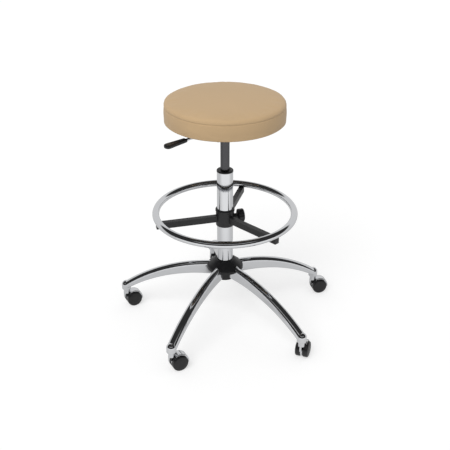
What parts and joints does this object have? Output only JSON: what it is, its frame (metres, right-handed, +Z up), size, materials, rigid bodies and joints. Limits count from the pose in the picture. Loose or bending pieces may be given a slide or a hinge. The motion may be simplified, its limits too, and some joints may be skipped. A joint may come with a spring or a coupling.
{
  "type": "adjustable swivel stool",
  "caption": "Round padded swivel stool on a gas lift, with a clamped foot ring, a release lever and an arched star base on twin-wheel casters.",
  "frame": {"origin": "on the floor, under the column's axis", "axes": "+Z up along the column, +Y towards one leg of the base"},
  "size_m": [0.707, 0.661, 0.75],
  "materials": {
    "chrome": "polished",
    "black_plastic": "satin",
    "black_steel": "satin",
    "gas_cylinder": "gloss",
    "bright_steel": "zinc plated",
    "wheel_black": "satin",
    "tan_vinyl": "matt grained",
    "plywood": "bare",
    "dust_cloth": "woven"
  },
  "bodies": {
    "base": {"hub_socket": "black_steel", "hub_bottom_cap": "black_plastic", "hub_cover": "black_plastic", "column_tube": "chrome", "column_bush": "black_plastic", "stem_grip_rings": "bright_steel", "leg_1": "chrome", "leg_2": "chrome", "leg_3": "chrome", "leg_4": "chrome", "leg_5": "chrome"},
    "lift_rod": {"piston_rod": "bright_steel", "piston": "bright_steel", "thrust_bearing": "bright_steel", "rod_clip": "bright_steel"},
    "seat": {"pressure_tube": "gas_cylinder", "rod_guide": "black_plastic", "mount_plate": "black_steel", "mount_bolts": "bright_steel", "tee_nuts": "bright_steel", "seat_board": "plywood", "dust_cover": "dust_cloth", "seat_cushion": "tan_vinyl"},
    "valve": {"valve_pin": "bright_steel"},
    "lever": {"release_lever": "chrome", "lever_handle": "black_plastic"},
    "collar_slide": {"collar_liner": "black_plastic"},
    "foot_ring_set": {"ring_collar": "black_steel", "spoke_1": "black_steel", "spoke_2": "black_steel", "spoke_3": "black_steel", "foot_ring": "chrome"},
    "pad": {"clamp_pad": "black_plastic"},
    "knob": {"clamp_knob": "black_plastic", "clamp_stud": "bright_steel"},
    "caster_1": {"caster_1_hood": "chrome", "caster_1_stem": "bright_steel", "caster_1_axle": "bright_steel"},
    "wheel_1_left": {"caster_1_wheel_left": "wheel_black"},
    "wheel_1_right": {"caster_1_wheel_right": "wheel_black"},
    "caster_2": {"caster_2_hood": "chrome", "caster_2_stem": "bright_steel", "caster_2_axle": "bright_steel"},
    "wheel_2_left": {"caster_2_wheel_left": "wheel_black"},
    "wheel_2_right": {"caster_2_wheel_right": "wheel_black"},
    "caster_3": {"caster_3_hood": "chrome", "caster_3_stem": "bright_steel", "caster_3_axle": "bright_steel"},
    "wheel_3_left": {"caster_3_wheel_left": "wheel_black"},
    "wheel_3_right": {"caster_3_wheel_right": "wheel_black"},
    "caster_4": {"caster_4_hood": "chrome", "caster_4_stem": "bright_steel", "caster_4_axle": "bright_steel"},
    "wheel_4_left": {"caster_4_wheel_left": "wheel_black"},
    "wheel_4_right": {"caster_4_wheel_right": "wheel_black"},
    "caster_5": {"caster_5_hood": "chrome", "caster_5_stem": "bright_steel", "caster_5_axle": "bright_steel"},
    "wheel_5_left": {"caster_5_wheel_left": "wheel_black"},
    "wheel_5_right": {"caster_5_wheel_right": "wheel_black"}
  },
  "joints": [
    {"name": "seat_swivel", "type": "hinge", "parent": "base", "child": "lift_rod", "pos_m": [0, 0, 0.172], "axis": [0, 0, 1], "continuous": true},
    {"name": "seat_lift", "type": "slide", "parent": "lift_rod", "child": "seat", "axis": [0, 0, 1], "range_m": [-0.1, 0.1]},
    {"name": "lever_lift", "type": "hinge", "parent": "seat", "child": "lever", "pos_m": [-0.03062, -0.0225, 0.664], "axis": [-0.592, 0.8059, 0], "range_deg": [0, 4.5], "stiffness_Nm_per_rad": 3, "springref_deg": -2.86},
    {"name": "valve_press", "type": "slide", "parent": "seat", "child": "valve", "axis": [0, 0, -1], "range_m": [0, 0.003]},
    {"name": "foot_ring_height", "type": "slide", "parent": "base", "child": "collar_slide", "axis": [0, 0, 1], "range_m": [-0.115, 0.118]},
    {"name": "foot_ring_swivel", "type": "hinge", "parent": "collar_slide", "child": "foot_ring_set", "pos_m": [0, 0, 0.367], "axis": [0, 0, 1], "continuous": true},
    {"name": "clamp_travel", "type": "slide", "parent": "foot_ring_set", "child": "pad", "axis": [0.9919, 0.1271, 0], "range_m": [0, 0.00251]},
    {"name": "knob_turn", "type": "hinge", "parent": "pad", "child": "knob", "pos_m": [0.04464, 0.00572, 0.364], "axis": [0.9919, 0.1271, 0], "range_deg": [0, 720]},
    {"name": "caster_1_swivel", "type": "hinge", "parent": "base", "child": "caster_1", "pos_m": [0.31955, 0.10383, 0.065], "axis": [0, 0, 1], "continuous": true},
    {"name": "wheel_1_left_spin", "type": "hinge", "parent": "caster_1", "child": "wheel_1_left", "pos_m": [0.34139, 0.10651, 0.025], "axis": [-0.1219, 0.9925, 0], "continuous": true},
    {"name": "wheel_1_right_spin", "type": "hinge", "parent": "caster_1", "child": "wheel_1_right", "pos_m": [0.34139, 0.10651, 0.025], "axis": [-0.1219, 0.9925, 0], "continuous": true},
    {"name": "caster_2_swivel", "type": "hinge", "parent": "base", "child": "caster_2", "pos_m": [0, 0.336, 0.065], "axis": [0, 0, 1], "continuous": true},
    {"name": "wheel_2_left_spin", "type": "hinge", "parent": "caster_2", "child": "wheel_2_left", "pos_m": [0.0204, 0.34424, 0.025], "axis": [-0.3746, 0.9272, 0], "continuous": true},
    {"name": "wheel_2_right_spin", "type": "hinge", "parent": "caster_2", "child": "wheel_2_right", "pos_m": [0.0204, 0.34424, 0.025], "axis": [-0.3746, 0.9272, 0], "continuous": true},
    {"name": "caster_3_swivel", "type": "hinge", "parent": "base", "child": "caster_3", "pos_m": [-0.31955, 0.10383, 0.065], "axis": [0, 0, 1], "continuous": true},
    {"name": "wheel_3_left_spin", "type": "hinge", "parent": "caster_3", "child": "wheel_3_left", "pos_m": [-0.29888, 0.11135, 0.025], "axis": [-0.342, 0.9397, 0], "continuous": true},
    {"name": "wheel_3_right_spin", "type": "hinge", "parent": "caster_3", "child": "wheel_3_right", "pos_m": [-0.29888, 0.11135, 0.025], "axis": [-0.342, 0.9397, 0], "continuous": true},
    {"name": "caster_4_swivel", "type": "hinge", "parent": "base", "child": "caster_4", "pos_m": [-0.1975, -0.27183, 0.065], "axis": [0, 0, 1], "continuous": true},
    {"name": "wheel_4_left_spin", "type": "hinge", "parent": "caster_4", "child": "wheel_4_left", "pos_m": [-0.17682, -0.26431, 0.025], "axis": [-0.342, 0.9397, 0], "continuous": true},
    {"name": "wheel_4_right_spin", "type": "hinge", "parent": "caster_4", "child": "wheel_4_right", "pos_m": [-0.17682, -0.26431, 0.025], "axis": [-0.342, 0.9397, 0], "continuous": true},
    {"name": "caster_5_swivel", "type": "hinge", "parent": "base", "child": "caster_5", "pos_m": [0.1975, -0.27183, 0.065], "axis": [0, 0, 1], "continuous": true},
    {"name": "wheel_5_left_spin", "type": "hinge", "parent": "caster_5", "child": "wheel_5_left", "pos_m": [0.20782, -0.2524, 0.025], "axis": [-0.8829, 0.4695, 0], "continuous": true},
    {"name": "wheel_5_right_spin", "type": "hinge", "parent": "caster_5", "child": "wheel_5_right", "pos_m": [0.20782, -0.2524, 0.025], "axis": [-0.8829, 0.4695, 0], "continuous": true}
  ],
  "couplings": [
    {"joint": "valve_press", "follows": "lever_lift", "m_per_rad": 0.038},
    {"joint": "clamp_travel", "follows": "knob_turn", "m_per_rad": 0.00019894}
  ]
}
